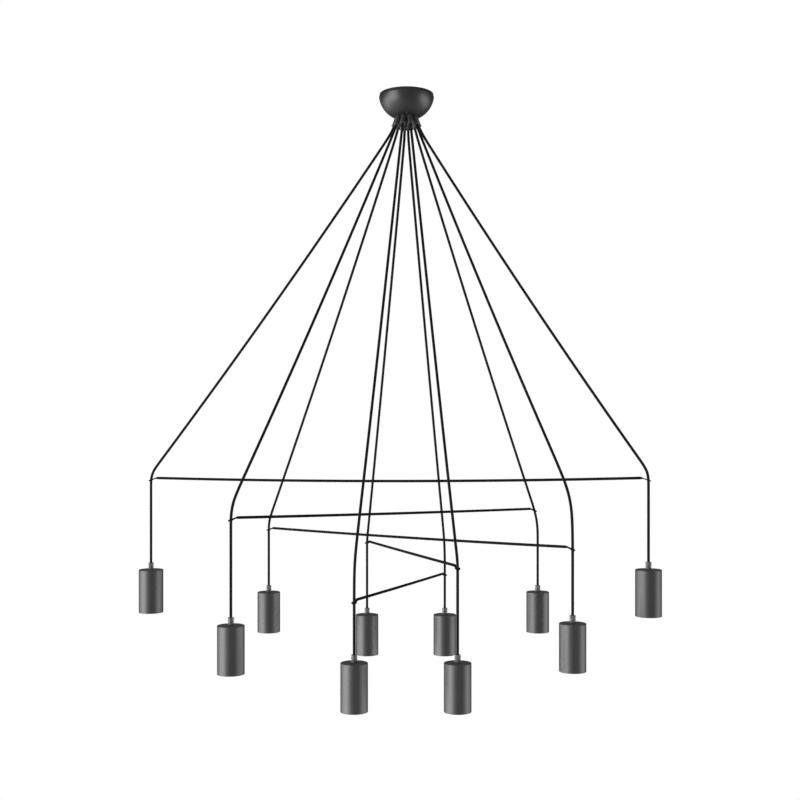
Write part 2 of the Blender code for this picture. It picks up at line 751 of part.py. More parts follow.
def rod_with_lamps(number, span, depth, turn, rise, sag, middle, end_a, end_b):
    frame = rod_frame(depth, span, turn, rise, middle)
    ways = []
    for letter, sign, (bend, softness, drop) in zip("ab", (-1, 1), (end_a, end_b)):
        label = number + letter
        eyelet = frame @ Vector((sign * span / 2, 0, -TAB_DROOP))
        far_side = math.pi if sign < 0 else 0
        plumb_top = upper_cord(label, eyelet, bend, softness)
        pendant(label, plumb_top, turn + far_side, drop)
        slanted = eyelet - spout_mouth(label)[0]
        ways.append(DOWN if bend > 0 else slanted.normalized())
    spacer_rod(number, span, sag, frame, ways)


def build():
    ceiling_bracket()
    canopy_dome()
    cord_plate()
    centre_screw()
    terminal_block()
    for rod in RODS:
        rod_with_lamps(*rod)
    bpy.context.view_layer.update()


build()
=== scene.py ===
# %% [markdown]
# # A chandelier of ten lamp holders on five crossed rods
#
# On the real lamp ten thin black cords leave a small dome on the ceiling, each through a spout of
# its own. Five black rods hold the cords apart: each rod has an eyelet at either end, a cord goes
# through it, and below the eyelet hangs a dark metal lamp holder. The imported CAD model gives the
# place of every piece and how it swings. This lesson dresses that model with finer surfaces and
# with materials. The model's own numbers are used as they are: metres, Z up, the ceiling at zero.

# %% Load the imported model
import json
import math

import bpy
import numpy as np
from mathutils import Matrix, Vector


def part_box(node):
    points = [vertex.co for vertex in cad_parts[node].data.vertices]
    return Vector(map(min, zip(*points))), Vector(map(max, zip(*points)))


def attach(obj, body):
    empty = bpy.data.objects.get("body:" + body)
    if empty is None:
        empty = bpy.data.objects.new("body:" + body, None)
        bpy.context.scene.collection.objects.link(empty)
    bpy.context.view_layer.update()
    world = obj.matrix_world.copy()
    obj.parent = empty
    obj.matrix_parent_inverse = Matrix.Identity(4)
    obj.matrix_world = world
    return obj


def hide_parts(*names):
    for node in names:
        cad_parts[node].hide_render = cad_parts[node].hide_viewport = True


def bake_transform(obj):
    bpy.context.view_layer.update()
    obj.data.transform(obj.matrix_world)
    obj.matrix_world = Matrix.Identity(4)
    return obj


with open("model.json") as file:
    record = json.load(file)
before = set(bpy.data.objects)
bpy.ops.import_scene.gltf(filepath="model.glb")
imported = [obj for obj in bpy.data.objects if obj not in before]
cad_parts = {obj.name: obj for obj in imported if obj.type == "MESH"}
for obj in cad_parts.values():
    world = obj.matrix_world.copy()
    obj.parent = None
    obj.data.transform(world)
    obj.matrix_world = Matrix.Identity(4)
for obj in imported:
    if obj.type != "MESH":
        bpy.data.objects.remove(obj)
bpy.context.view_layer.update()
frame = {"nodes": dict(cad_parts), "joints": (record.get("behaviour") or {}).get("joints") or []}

joints = {joint["name"]: joint for joint in frame["joints"]}
LABELS = [number + end for number in "12345" for end in "ab"]

# %% [markdown]
# ## The camera
#
# The photo's upright lines are parallel, so its camera looked level, and the horizon, where the
# holders show neither their tops nor their bottoms, lies a little below the middle of the picture.
# A small vertical shift does that without tilting the camera. The ten holders are all one size, so
# the sizes at which they appear give the camera's distance.

# %% Set up the camera
LENS_MM = 51.525
SENSOR_MM = 36
CAMERA_PLACE = (-0.0122, -2.150, -0.658)
CAMERA_SHIFT = 0.05625

camera_data = bpy.data.cameras.new("camera")
camera_data.lens = LENS_MM
camera_data.sensor_width = SENSOR_MM
camera_data.shift_y = CAMERA_SHIFT
camera = bpy.data.objects.new("camera", camera_data)
camera.location = CAMERA_PLACE
camera.rotation_euler = (math.radians(90), 0, 0)
bpy.context.scene.collection.objects.link(camera)
bpy.context.scene.camera = camera
print("camera", CAMERA_PLACE, "lens", LENS_MM, "mm")

# %% [markdown]
# ## Surfaces from arrays
#
# Every new piece is a grid of points: one way runs along a profile or a path, and the other way
# runs round it. With the points in rows, the corners of all the quads come from one sum on whole
# arrays. A quad's corners go round first and along second, so its face looks outwards where the
# profile runs upwards on the outer side.

# %% Helpers for grids of points
def grid_quads(rows, columns, rows_closed):
    """Corners of a grid's quads: point (i, j) has number i x columns + j.

    The last column meets the first, and the last row meets the first if the rows are closed.
    """
    row = np.arange(rows if rows_closed else rows - 1)[:, None]
    column = np.arange(columns)[None, :]
    next_row = (row + 1) % rows
    next_column = (column + 1) % columns
    corners = (row * columns + column, row * columns + next_column,
               next_row * columns + next_column, next_row * columns + column)
    return np.stack(corners, axis=-1).reshape(-1, 4)


def end_fans(rows, columns):
    """Triangles that close a grid at both ends, each round a pole kept after the grid's points."""
    column = np.arange(columns)
    next_column = (column + 1) % columns
    last = (rows - 1) * columns
    low_pole = np.full(columns, rows * columns)
    low = np.stack((low_pole, next_column, column), axis=-1)
    high = np.stack((low_pole + 1, last + column, last + next_column), axis=-1)
    return np.concatenate((low, high))


def joined(shapes):
    """Several surfaces as one: each one's corner numbers start after the points before it."""
    blocks, start = [], 0
    for points, faces in shapes:
        blocks += [block + start for block in faces]
        start += len(points)
    return np.concatenate([points for points, faces in shapes]), blocks


def moved(shape, place):
    """A surface carried to a place."""
    points, faces = shape
    return points + np.asarray(place), faces


def unit(vectors):
    """The same ways with length 1."""
    return vectors / np.linalg.norm(vectors, axis=-1, keepdims=True)


# %% [markdown]
# ## Turned and swept surfaces
#
# Most pieces of a lamp are spun or turned, so their surface is a profile carried round an axis. A
# sharp corner never looks real, because every real edge catches a thin line of light. The profile's
# corners are therefore rounded first. The cords and rods are the other kind: a section carried
# along a path. The section is a superellipse, which is round at power 2 and nearly a flat bar at
# higher powers, so one function makes both a cord and a rod with hammered ends.

# %% Helpers for profiles and paths
EDGE_HOLD = 0.0003
SAME_POINT = 1e-7
# these two keep a corner that is nearly straight from dividing by zero
NEARLY_STRAIGHT = 0.999999
TINY = 1e-12
ROUND_POWER = 2.0


def rounded(corners, radii, steps):
    """A closed outline with round corners.

    The arc of a corner touches both its sides: it starts radius / tan(half the corner's angle)
    before the corner, and its points are its two end spokes mixed by sines. A point close to each
    end of the arc keeps the shading of the flat side even.
    """
    corners = np.asarray(corners, float)
    radii = np.broadcast_to(np.asarray(radii, float), len(corners))[:, None]
    before = np.roll(corners, 1, axis=0) - corners
    after = np.roll(corners, -1, axis=0) - corners
    side_before = np.linalg.norm(before, axis=1, keepdims=True)
    side_after = np.linalg.norm(after, axis=1, keepdims=True)
    before, after = before / side_before, after / side_after
    cosine = (before * after).sum(axis=1, keepdims=True)
    cosine = np.clip(cosine, -NEARLY_STRAIGHT, NEARLY_STRAIGHT)
    half = np.arccos(cosine) / 2
    cut = radii / np.tan(half)
    centre = corners + unit(before + after + TINY) * radii / np.sin(half)
    start, end = corners + before * cut, corners + after * cut
    turn = (math.pi - 2 * half)[:, :, None]
    share = np.linspace(0, 1, steps + 1)[None, :, None]
    first_spoke = np.sin((1 - share) * turn) * (start - centre)[:, None]
    last_spoke = np.sin(share * turn) * (end - centre)[:, None]
    arcs = centre[:, None] + (first_spoke + last_spoke) / np.sin(turn)
    hold = np.where(radii > 0, EDGE_HOLD, 0)
    hold_start = start + before * np.minimum(hold, side_before / 4)
    hold_end = end + after * np.minimum(hold, side_after / 4)
    points = np.concatenate((hold_start[:, None], arcs, hold_end[:, None]), axis=1).reshape(-1, 2)
    gap = np.linalg.norm(points - np.roll(points, 1, axis=0), axis=1)
    return points[gap > SAME_POINT]


def turned(profile, sides, closed=True):
    """A profile of (radius, height) turned about Z.

    x = radius x cos(angle) and y = radius x sin(angle). An open profile starts and ends on the
    axis, and its two ends become poles.
    """
    profile = np.asarray(profile, float)
    ends = profile[[0, -1]]
    rows = profile if closed else profile[1:-1]
    angle = np.linspace(0, 2 * math.pi, sides, endpoint=False)
    x = rows[:, :1] * np.cos(angle)
    y = rows[:, :1] * np.sin(angle)
    z = np.broadcast_to(rows[:, 1:], x.shape)
    points = np.stack((x, y, z), axis=-1).reshape(-1, 3)
    faces = [grid_quads(len(rows), sides, closed)]
    if not closed:
        poles = np.stack((np.zeros(2), np.zeros(2), ends[:, 1]), axis=-1)
        points = np.concatenate((points, poles))
        faces.append(end_fans(len(rows), sides))
    return points, faces


def swept(path, side, half_width, half_height, sides, power=ROUND_POWER):
    """A section carried along a path.

    Point = path + side x width x cos^(2/power) + up x height x sin^(2/power). The side way is
    made square to the path at each point, and the up way is square to both.
    """
    path = np.asarray(path, float)
    rows = len(path)
    along = unit(np.gradient(path, axis=0))
    across = unit(np.asarray(side) - (along @ np.asarray(side))[:, None] * along)
    up = np.cross(along, across)
    angle = np.linspace(0, 2 * math.pi, sides, endpoint=False)[None, :]

    def reach(wave, half_size):
        half_size = np.broadcast_to(half_size, rows)[:, None]
        exponent = 2 / np.broadcast_to(power, rows)[:, None]
        return (np.sign(wave) * np.abs(wave) ** exponent * half_size)[..., None]

    wide = across[:, None] * reach(np.cos(angle), half_width)
    high = up[:, None] * reach(np.sin(angle), half_height)
    points = np.concatenate(((path[:, None] + wide + high).reshape(-1, 3), path[[0, -1]]))
    return points, [grid_quads(rows, sides, False), end_fans(rows, sides)]


# %% [markdown]
# ## From arrays to an object
#
# A finished piece is an object at the origin whose place is in its points, as every CAD node is.
# Each piece rides on the CAD body that carries it, says which finish it takes, and where it
# stands for CAD nodes, it hides them.

# %% Helper that makes a piece
SHARP_ANGLE = math.radians(50)


def make_piece(name, shape, material, body=None, nodes=()):
    """One mesh object, smooth but for the edges that turn by more than the sharp angle."""
    points, blocks = shape
    faces = [corners for block in blocks for corners in block.tolist()]
    mesh = bpy.data.meshes.new(name)
    mesh.from_pydata(points.tolist(), [], faces)
    mesh.shade_smooth()
    mesh.set_sharp_from_angle(angle=SHARP_ANGLE)
    mesh.materials.append(material)
    item = bpy.data.objects.new(name, mesh)
    bpy.context.scene.collection.objects.link(item)
    if body:
        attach(item, body)
    if nodes:
        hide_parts(*nodes)
    return item


# %% [markdown]
# ## A small language for materials
#
# A material is a graph of nodes, and sums in a graph are tedious to wire by hand. Here one class
# wraps a socket, so that Python's own operators add the Math nodes. Another one holds a graph and
# adds any other node, with its settings first and its sockets second. The world's background is
# such a graph too.

# %% Helpers for materials
class Value:
    """What one socket gives, with Python's operators; each operator adds a Math node."""

    def __init__(self, graph, socket):
        self.graph = graph
        self.socket = socket

    def maths(self, operation, first, second):
        return self.graph.add("ShaderNodeMath", {"operation": operation}, {0: first, 1: second})

    def __add__(self, other):
        return self.maths("ADD", self, other)

    def __radd__(self, other):
        return self.maths("ADD", other, self)

    def __sub__(self, other):
        return self.maths("SUBTRACT", self, other)

    def __rsub__(self, other):
        return self.maths("SUBTRACT", other, self)

    def __mul__(self, other):
        return self.maths("MULTIPLY", self, other)

    def __rmul__(self, other):
        return self.maths("MULTIPLY", other, self)


class Graph:
    """A graph of nodes with one shader, whose sockets are set by name."""

    def __init__(self, tree, shader):
        self.tree = tree
        self.shader = tree.nodes[shader]

    def add(self, kind, settings=None, sockets=None, out=0):
        """Any node: first its settings, then the numbers or links of its sockets."""
        node = self.tree.nodes.new(kind)
        node.location = (-200 * len(self.tree.nodes), 0)
        for name, setting in (settings or {}).items():
            setattr(node, name, setting)
        self.fill(node, sockets or {})
        return Value(self, node.outputs[out])

    def fill(self, node, sockets):
        for name, value in sockets.items():
            if isinstance(value, Value):
                self.tree.links.new(value.socket, node.inputs[name])
            else:
                node.inputs[name].default_value = value

    def feed(self, sockets):
        self.fill(self.shader, sockets)


class Paint(Graph):
    """A material with one Principled shader."""

    def __init__(self, name, constants):
        self.material = bpy.data.materials.new(name)
        self.material.use_nodes = True
        super().__init__(self.material.node_tree, "Principled BSDF")
        self.place = self.add("ShaderNodeTexCoord", out="Object")
        self.feed(constants)

    def noise(self, scale, detail=2.0, roughness=0.5, vector=None):
        """Soft random grain between 0 and 1; the scale is in grains per metre."""
        sockets = {"Vector": vector or self.place, "Scale": scale, "Detail": detail,
                   "Roughness": roughness}
        return self.add("ShaderNodeTexNoise", None, sockets)

    def stretched(self, across, along):
        """Object coordinates for a grain that is longer along Z than across it."""
        sockets = {"Vector": self.place, "Scale": (across, across, along)}
        return self.add("ShaderNodeMapping", None, sockets)

    def mixed(self, factor, first, second):
        """A colour between two; sockets 6 and 7 of the Mix node take colours."""
        sockets = {0: factor, 6: (*first, 1), 7: (*second, 1)}
        return self.add("ShaderNodeMix", {"data_type": "RGBA"}, sockets, out=2)

    def bump(self, height, depth):
        """A bump whose full height is a depth in metres."""
        sockets = {"Height": height, "Distance": depth, "Strength": 1.0}
        self.feed({"Normal": self.add("ShaderNodeBump", None, sockets)})


# %% [markdown]
# ## The black finishes
#
# Dome, plate and screw share one black baked coat, and the spouts are matt black plastic. The coat
# is a skin of tiny round bumps, about half a millimetre apart, that were melted together, and it is
# a little smoother in some places than in others. The rods have a thinner satin lacquer over drawn
# steel. The cords have a soft black sheath, the plainest of all, with fine pores and a slight
# unevenness where the cores are twisted inside.

# %% Black powder coat, lacquer and cord sheath
def powder_coat():
    """Black baked coat: grain 0.45 mm apart in the bump, patches of 25 mm in the gloss.

    It is drawn mostly as a dark metal with dark edges, because its flakes mirror the lights a
    little.
    """
    paint = Paint("canopy_black", {"Metallic": 0.85, "Specular Tint": (0.1, 0.1, 0.1, 1)})
    grain = paint.noise(2200, 3.0, 0.55)
    patches = paint.noise(40, 2.0)
    blend = patches * 0.6 + grain * 0.4
    paint.feed({
        "Base Color": paint.mixed(blend, (0.020, 0.020, 0.0205), (0.030, 0.030, 0.0305)),
        "Roughness": 0.32 + patches * 0.06 + grain * 0.04,
    })
    paint.bump(grain, 0.00002)
    return paint.material


def spout_plastic():
    """Matt black plastic: grain 0.5 mm apart, cloudy gloss."""
    paint = Paint("spout_black", {"Specular IOR Level": 0.25})
    grain = paint.noise(2000, 2.0)
    cloud = paint.noise(150, 2.0)
    paint.feed({
        "Base Color": paint.mixed(cloud, (0.012, 0.012, 0.0125), (0.020, 0.020, 0.0205)),
        "Roughness": 0.42 + cloud * 0.12,
    })
    paint.bump(grain, 0.00002)
    return paint.material


def rod_lacquer():
    """Satin black: fine grain in the bump and faint rubbed patches in the gloss."""
    paint = Paint("rod_black", {"Specular IOR Level": 0.0, "Specular Tint": (0.0, 0.0, 0.0, 1)})
    grain = paint.noise(1800, 2.0)
    rubbed = paint.noise(60, 3.0)
    paint.feed({
        "Base Color": paint.mixed(rubbed, (0.004, 0.004, 0.004), (0.010, 0.010, 0.010)),
        "Roughness": 0.42 + rubbed * 0.16,
    })
    paint.bump(grain, 0.000008)
    return paint.material


def cord_sheath():
    """Soft black sheath: matt, with pores 0.3 mm apart and a slow unevenness 7 mm apart."""
    paint = Paint("cord_black", {"Specular IOR Level": 0.05})
    pores = paint.noise(3200, 2.0)
    cores = paint.noise(140, 1.0)
    blend = cores * 0.5 + pores * 0.5
    paint.feed({
        "Base Color": paint.mixed(blend, (0.0015, 0.0015, 0.0015), (0.004, 0.004, 0.004)),
        "Roughness": 0.62 + cores * 0.12,
    })
    paint.bump(pores * 0.4 + cores * 0.6, 0.00001)
    return paint.material


CANOPY_BLACK = powder_coat()
SPOUT_BLACK = spout_plastic()
ROD_BLACK = rod_lacquer()
CORD_BLACK = cord_sheath()
print("black finishes", CANOPY_BLACK.name, SPOUT_BLACK.name, ROD_BLACK.name, CORD_BLACK.name)

# %% [markdown]
# ## Where the rods hang
#
# Each rod is known by the distance between its two cords, its depth below the ceiling, its turn in
# plan, how much higher its end b hangs than its end a, how far it sags under its own weight, and
# where its middle hangs. The sag grows with the fourth power of the length, so only the long rod
# shows it well. These are the sizes of the CAD model. An eyelet lies at the end of a tab that
# droops by 20 degrees.

# %% Places of the rods and eyelets
TAB_REACH = 0.011
TAB_SLOPE = math.radians(20)
TAB_DROOP = TAB_REACH * math.tan(TAB_SLOPE)
# span, depth, turn in degrees, rise, sag, middle in x and y
RODS = {
    "1": (0.940, 0.719, -11.5, 0.0054, 0.0058, -0.033, -0.030),
    "2": (0.700, 0.7853, 36.3, -0.0077, 0.0011, -0.0171, 0),
    "3": (0.700, 0.8316, -35.7, -0.0039, 0.0018, 0, 0.020),
    "4": (0.470, 0.8594, -69.4, -0.0058, 0.0004, 0.0023, 0),
    "5": (0.470, 0.9215, 68.8, -0.0030, 0.0004, -0.0045, 0),
}


def rod_matrix(number):
    """Rotation and place of a rod: its own X runs from end a to end b, tilted up by the rise."""
    span, depth, turn, rise, _, middle_x, middle_y = RODS[number]
    tilt = math.asin(rise / span)
    angle = math.radians(turn)
    ahead = np.array((math.cos(angle), math.sin(angle), 0))
    along = ahead * math.cos(tilt) + np.array((0, 0, math.sin(tilt)))
    across = np.array((-math.sin(angle), math.cos(angle), 0))
    rotation = np.stack((along, across, np.cross(along, across)))
    return rotation, np.array((middle_x, middle_y, -depth))


def eyelet_place(label):
    rotation, place = rod_matrix(label[0])
    half = RODS[label[0]][0] / 2
    return np.array((half if label[1] == "b" else -half, 0, -TAB_DROOP)) @ rotation + place


print({label: np.round(eyelet_place(label), 4).tolist() for label in LABELS})

# %% [markdown]
# ## The cords' routes
#
# A cord comes straight out of its spout, turns into its slant, sags a little on the way and turns
# again to hang plumb. How far above the eyelet it turns differs from cord to cord, because each one
# was bent when the lamp was put up. A chain of separate curves would show kinks. Here the route is
# one formula instead: a straight line, plus a sag, plus two soft turns that fade away from their
# ends. It repeats the route of the CAD model.

# %% Work out the routes
CORD_RADIUS = 0.0025
CORD_SAG = 0.0095
SPOUT_BEND_LENGTH = 0.0105
PLUMB_SHARE = 2.5
PIVOT_BELOW_EYELET = 0.006
DOME_RADIUS = 0.052
DOME_HEIGHT = 0.048
SPOUT_RING_RADIUS = 0.0178
SPOUT_LEAN = math.radians(20)
SPOUT_LENGTH = 0.017
CORD_START_DEPTH = 0.0327
# degrees round the plate at which each cord's spout stands, from +X towards +Y; 4a and 5b share a
# twin spout at the back, each a little aside of its middle
SPOUTS = {
    "1a": 180, "1b": 0, "2a": 216, "2b": 46, "3a": 134, "3b": 324,
    "4a": 90, "4b": 288, "5a": 252, "5b": 90,
}
TWIN_ASIDE = {"4a": 0.0033, "5b": -0.0033}
# height of the bend above the eyelet, and how softly the cord turns there
BENDS = {
    "1a": (0.011, 0.0055), "1b": (0.014, 0.005), "2a": (0.024, 0.010), "2b": (-0.020, 0.012),
    "3a": (0.018, 0.005), "3b": (0.088, 0.018), "4a": (0.004, 0.004), "4b": (0.010, 0.005),
    "5a": (0.067, 0.0145), "5b": (0.062, 0.0135),
}
UP = np.array((0.0, 0.0, 1.0))
ROUTE_STEP = 0.004
SMOOTHING_REACH = 2


def spout_place(label):
    """Middle of a spout's root on the dome, and the way out along the spout."""
    azimuth = math.radians(SPOUTS[label])
    way = np.array((math.cos(azimuth), math.sin(azimuth), 0))
    depth = -DOME_HEIGHT * math.sin(math.acos(SPOUT_RING_RADIUS / DOME_RADIUS))
    root = way * SPOUT_RING_RADIUS + np.cross(UP, way) * TWIN_ASIDE.get(label, 0) + UP * depth
    return root, way * math.sin(SPOUT_LEAN) - UP * math.cos(SPOUT_LEAN)


def evenly(points, step):
    """The same line with a point every step of its length."""
    length = np.concatenate(([0], np.cumsum(np.linalg.norm(np.diff(points, axis=0), axis=1))))
    stations = np.linspace(0, length[-1], int(length[-1] / step) + 2)
    return np.stack([np.interp(stations, length, points[:, axis]) for axis in range(3)], axis=-1)


def softened(points):
    """Each point becomes the mean of itself and its neighbours; the two ends stay."""
    before = 2 * points[:1] - points[SMOOTHING_REACH:0:-1]
    after = 2 * points[-1:] - points[-2:-SMOOTHING_REACH - 2:-1]
    padded = np.concatenate((before, points, after))
    window = 2 * SMOOTHING_REACH + 1
    kernel = np.ones(window) / window
    return np.stack([np.convolve(padded[:, axis], kernel, "valid") for axis in range(3)], axis=-1)


def cord_route(label):
    """Points of a cord from inside the dome to its tilt pivot.

    Slant: mouth + way x distance - sag x 4 share (1 - share), plus the way out of the spout fading
    as 1 - exp(-distance), plus the plumb way growing as log(1 + exp(distance past the bend)).
    """
    root, out = spout_place(label)
    inside = root + out * ((-CORD_START_DEPTH - root[2]) / out[2])
    mouth = root + out * SPOUT_LENGTH
    eyelet = eyelet_place(label)
    bend, softness = BENDS[label]
    below = max(bend, 0) or PLUMB_SHARE * softness
    if bend > 0:
        corner = eyelet + UP * bend
    else:
        corner = eyelet + (eyelet - mouth) * (bend / (eyelet[2] - mouth[2]))
    slant = np.linalg.norm(corner - mouth)
    way = (corner - mouth) / slant
    slope = -UP * 4 * CORD_SAG / slant
    start_lean = out / (out @ way) - way - slope
    end_lean = UP / (UP @ way) - way + slope
    tail = -below * way[2]
    at_eyelet = slant + (tail if bend > 0 else -bend / way[2])

    def turning(distance):
        return softness * np.log1p(np.exp((distance - slant) / softness))

    excess = turning(at_eyelet) - max(at_eyelet - slant, 0)
    distance = np.linspace(0, slant + tail, int(slant / ROUTE_STEP) + 2)[:, None]
    share = distance / slant
    sag = 4 * CORD_SAG * np.where(share < 1, share * (1 - share), 1 - share)
    fading = np.exp(-distance / SPOUT_BEND_LENGTH)
    settling = SPOUT_BEND_LENGTH * (1 - fading - np.minimum(share, 1))
    points = mouth + way * distance - UP * sag + start_lean * settling
    points = points + end_lean * (turning(distance) - excess * np.minimum(distance / at_eyelet, 1))
    swing = points[-1] - UP * PIVOT_BELOW_EYELET
    miss = np.linalg.norm(swing - joints[f"pendant_{label}_swing"]["pos_m"])
    tilt = np.array(joints[f"lamp_{label}_tilt"]["pos_m"])
    points = np.concatenate(([inside], points, [swing, tilt]))
    print("cord", label, "misses its pivot by", round(miss * 1000, 3), "mm")
    return softened(evenly(points, ROUTE_STEP))


# %% [markdown]
# ## The cords
#
# Each cord bends in two places when the lamp is moved: under its eyelet, and where it enters the
# grip. A mesh can bend between two bodies only, so a cord is two tubes that meet squarely half way
# down its plumb stretch, where nothing bends and the join can't be seen.

# %% Make the cords
CORD_SIDES = 24
GRIP_TOP_DEPTH = 0.001
LOWER_CORD_END = 0.014
LOWER_STEP = 0.001


def cord_tube(name, label, path, nodes):
    """One half of a cord, a round tube along its path; gives back the tube's length."""
    rotation, _ = rod_matrix(label[0])
    tube = swept(path, rotation[1], CORD_RADIUS, CORD_RADIUS, sides=CORD_SIDES)
    item = make_piece(name, tube, CORD_BLACK, nodes=nodes)
    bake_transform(item)
    length = float(np.linalg.norm(np.diff(path, axis=0), axis=1).sum())
    return length


cord_lengths = {}
for label in LABELS:
    swing = np.array(joints[f"pendant_{label}_swing"]["pos_m"])
    tilt = np.array(joints[f"lamp_{label}_tilt"]["pos_m"])
    middle = (swing + tilt) / 2
    route = cord_route(label)
    upper = np.concatenate((route[route[:, 2] > middle[2] + ROUTE_STEP / 2], [middle]))
    lower = evenly(np.stack((middle, tilt - UP * LOWER_CORD_END)), LOWER_STEP)
    cad_cords = [f"upper_cord_{label}", f"drop_cord_{label}"]
    lengths = (
        cord_tube(f"cord_upper_{label}", label, upper, cad_cords),
        cord_tube(f"cord_lower_{label}", label, lower, []),
    )
    cord_lengths[label] = round(sum(lengths), 3)
print("cord lengths in metres", cord_lengths)

# %% [markdown]
# ## The spacer rods
#
# A rod is a round bar whose ends were pressed flat, bent down a little and punched for the cord. In
# the photo the bar runs into its tab without a step. The bar is therefore one sweep whose section
# changes from a circle to a flat bar, and the tab's end is a ring round the cord whose two rims are
# rounded. The ring's hole runs the way the cord does, so that the cord stays clear of it.

# %% Make the rods
ROD_RADIUS = 0.0025
TAB_HALF_THICKNESS = 0.0010
TAB_HALF_NECK = 0.0031
TAB_END_RADIUS = 0.0049
EYELET_RADIUS = 0.0031
RIM_ROUND = 0.0006
BAR_SIDES = 32
RING_SIDES = 48
DROOP_SOFTNESS = 0.0014
# the bar flattens from a little before its bend to a little past it, and reaches into the ring
FLAT_FROM = -0.003
FLAT_AT = 0.002
BAR_REACH_SHARE = 0.8
FINE_STRETCH = 0.016
FINE_STEPS = 40
MIDDLE_STEPS = 60
TAB_POWER = 5


def smooth_share(value, low, high):
    """0 below low, 1 above high, and 3 share^2 - 2 share^3 between."""
    share = np.clip((value - low) / (high - low), 0, 1)
    return share * share * (3 - 2 * share)


def rod_bar(span, sag):
    """Centre line: z = -slope x softness x log(1 + exp(past the bend)) - sag x (1 - share^2).

    The section flattens towards the ends.
    """
    half_bar = span / 2 - TAB_REACH
    end = span / 2 - TAB_END_RADIUS * BAR_REACH_SHARE
    near_end = np.linspace(half_bar - FINE_STRETCH, end, FINE_STEPS)
    middle = np.linspace(-near_end[0], near_end[0], MIDDLE_STEPS)[1:-1]
    x = np.concatenate((-near_end[::-1], middle, near_end))
    past = np.abs(x) - half_bar
    droop = math.tan(TAB_SLOPE) * DROOP_SOFTNESS * np.log1p(np.exp(past / DROOP_SOFTNESS))
    hang = sag * np.maximum(1 - (x / half_bar) ** 2, 0)
    path = np.stack((x, np.zeros_like(x), -droop - hang), axis=-1)
    flat = smooth_share(past, FLAT_FROM, FLAT_AT)
    width = ROD_RADIUS + (TAB_HALF_NECK - ROD_RADIUS) * flat
    height = ROD_RADIUS + (TAB_HALF_THICKNESS - ROD_RADIUS) * flat
    power = ROUND_POWER + (TAB_POWER - ROUND_POWER) * flat
    return swept(path, (0, 1, 0), width, height, BAR_SIDES, power)


def eyelet_ring(lean):
    """A ring in the tab's plane: share x outer circle + (1 - share) x hole.

    The hole's middle moves with the height. The lean is the angle between the tab's upright and
    the cord's way, positive where the cord comes from the rod's side.
    """
    wall = TAB_END_RADIUS - EYELET_RADIUS
    top = TAB_HALF_THICKNESS
    profile = rounded(((0, -top), (wall, -top), (wall, top), (0, top)), RIM_ROUND, 5)
    share, height = profile[:, :1] / wall, profile[:, 1:]
    angle = np.linspace(0, 2 * math.pi, RING_SIDES, endpoint=False)[None, :]
    hole_x = EYELET_RADIUS / math.cos(lean) * np.cos(angle) - height * math.tan(lean)
    hole_y = EYELET_RADIUS * np.sin(angle) + 0 * height
    x = hole_x + share * (TAB_END_RADIUS * np.cos(angle) - hole_x)
    y = hole_y + share * (TAB_END_RADIUS * np.sin(angle) - hole_y)
    points = np.stack((x, y, height + 0 * angle), axis=-1).reshape(-1, 3)
    return points, [grid_quads(len(profile), RING_SIDES, True)]


def rod_shape(number):
    """The bar and its two rings in the rod's own frame, then carried to the rod's place."""
    span, sag = RODS[number][0], RODS[number][4]
    shapes = [rod_bar(span, sag)]
    for end, sign in (("a", -1), ("b", 1)):
        label = number + end
        if BENDS[label][0] > 0:
            slant = 0
        else:
            root, out = spout_place(label)
            run = eyelet_place(label) - root - out * SPOUT_LENGTH
            slant = math.atan2(math.hypot(run[0], run[1]), -run[2])
        points, faces = eyelet_ring(slant + TAB_SLOPE)
        cosine, sine = math.cos(TAB_SLOPE), math.sin(TAB_SLOPE)
        points = points @ np.array(((cosine, 0, -sine), (0, 1, 0), (sine, 0, cosine)))
        points = points @ np.array(((sign, 0, 0), (0, sign, 0), (0, 0, 1)))
        shapes.append((points + np.array((sign * span / 2, 0, -TAB_DROOP)), faces))
    points, faces = joined(shapes)
    rotation, place = rod_matrix(number)
    return points @ rotation + place, faces


for number in RODS:
    make_piece(f"rod_{number}", rod_shape(number), ROD_BLACK, "frame",
               [f"spacer_rod_{number}"])
print("rods", {number: RODS[number][0] for number in RODS}, "m between the cords")

# %% [markdown]
# ## The canopy
#
# The dome is spun from sheet metal: a flattened half ball with a short straight band where it meets
# the ceiling. Short spouts are set in a ring round its lowest part, eight with one cord each and a
# twin one at the back with two, and a screw in the middle holds the whole on the bracket. The
# profile of the dome is an ellipse, so both the shell and the plate that carries the spouts are
# turned from points of the same curve.

# %% Make the dome and its plate
DOME_RIM_RADIUS = 0.0505
DOME_BAND_HEIGHT = 0.006
DOME_WALL = 0.0012
PLATE_RADIUS = 0.032
PLATE_WALL = 0.0015
PLATE_LAND_RADIUS = 0.0085
PLATE_BOSS_RADIUS = 0.0065
PLATE_BOSS_HEIGHT = 0.014
SEAM_GAP = 0.00012
SCREW_RADIUS = 0.0022
CANOPY_SIDES = 160
OUTER_STEPS = 40
INNER_STEPS = 24
PLATE_STEPS = 24


def dome_point(radius, inset=0.0):
    """Points of the ellipse at some radii, moved inwards square to it."""
    radius = np.asarray(radius, float)
    angle = np.arccos(radius / DOME_RADIUS)
    normal = unit(np.stack((np.cos(angle) / DOME_RADIUS, -np.sin(angle) / DOME_HEIGHT), axis=-1))
    return np.stack((radius, -DOME_HEIGHT * np.sin(angle)), axis=-1) - normal * inset


def dome_run(start, end, inset, count):
    """Points of the ellipse between two radii, evenly spaced in its angle."""
    angle = np.linspace(math.acos(start / DOME_RADIUS), math.acos(end / DOME_RADIUS), count)
    return dome_point(DOME_RADIUS * np.cos(angle), inset)


